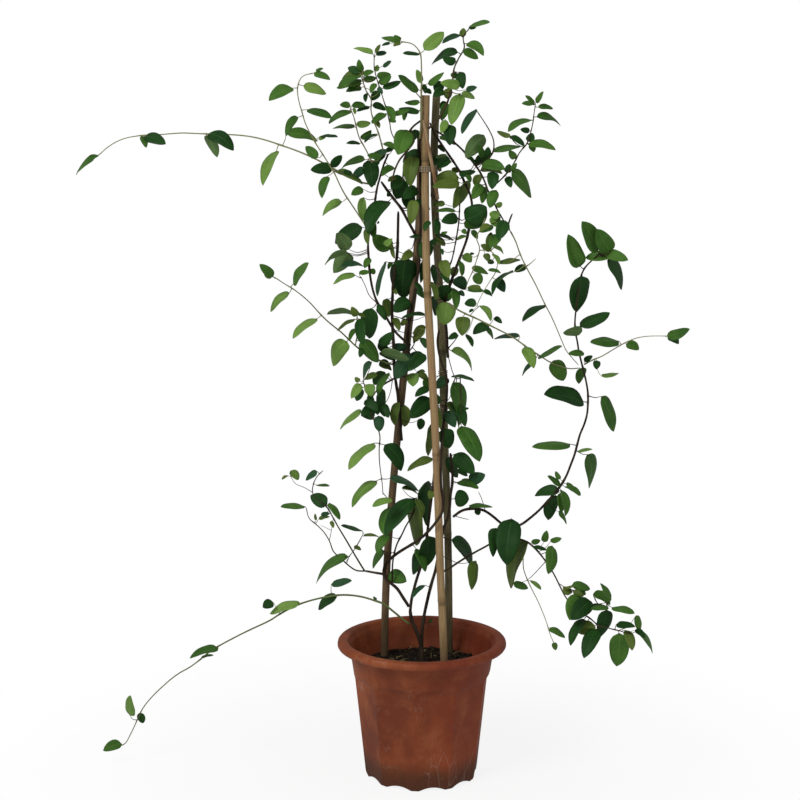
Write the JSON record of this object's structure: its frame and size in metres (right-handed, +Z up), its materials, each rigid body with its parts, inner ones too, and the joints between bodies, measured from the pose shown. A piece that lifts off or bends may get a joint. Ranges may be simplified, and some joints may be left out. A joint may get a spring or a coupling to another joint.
{
  "type": "potted climbing shrub",
  "caption": "Young climbing honeysuckle trained on a wigwam of canes in a round plastic nursery pot.",
  "frame": {"origin": "on the pot's axis, at the middle of its base, level with the feet that it stands on", "axes": "+Z up along the pot's axis, -Y towards the front cane, +X towards the side with the two long branches"},
  "size_m": [0.8502, 0.24, 1.0673],
  "materials": {
    "pot": "dull terracotta-coloured plastic with pale scratches and lime",
    "compost": null,
    "cane": "dry cane, stained near the foot",
    "twine": "jute twine",
    "old": "dark brown bark",
    "twig": "thin reddish-brown bark",
    "tan": "peeling papery bark",
    "green": null,
    "pale": null
  },
  "bodies": {
    "root": {"pot": "pot", "compost": "compost", "cane_front": "cane", "cane_rear": "cane", "cane_left": "cane", "twine_tie": "twine", "trunk": "old", "left_fork": "old", "left_twiggy_branch": "twig", "left_low_runner": "green", "inner_left_shoot": "old", "right_lower_branch": "twig", "hanging_shoot": "pale", "right_main_branch": "old", "right_tendril": "pale", "right_cross_stem": "pale", "right_pale_stem": "pale", "column_right_twigs": "twig", "column_left_climber": "old", "left_arch": "old", "left_bow": "old", "column_core": "old", "column_right_climber": "old", "right_hand_arch": "old", "right_cluster": "pale", "left_hand_drops": "twig", "left_top_twigs": "pale", "left_low_crown_shoot": "pale", "left_upper_runner": "pale", "left_top_shoot": "pale", "left_mid_shoot": "green", "left_hanging_shoot": "twig", "top_centre_shoot": "pale", "top_right_shoot": "twig", "right_crown_arch": "twig", "right_top_shoot": "twig", "tan_twiner": "tan"}
  },
  "joints": []
}
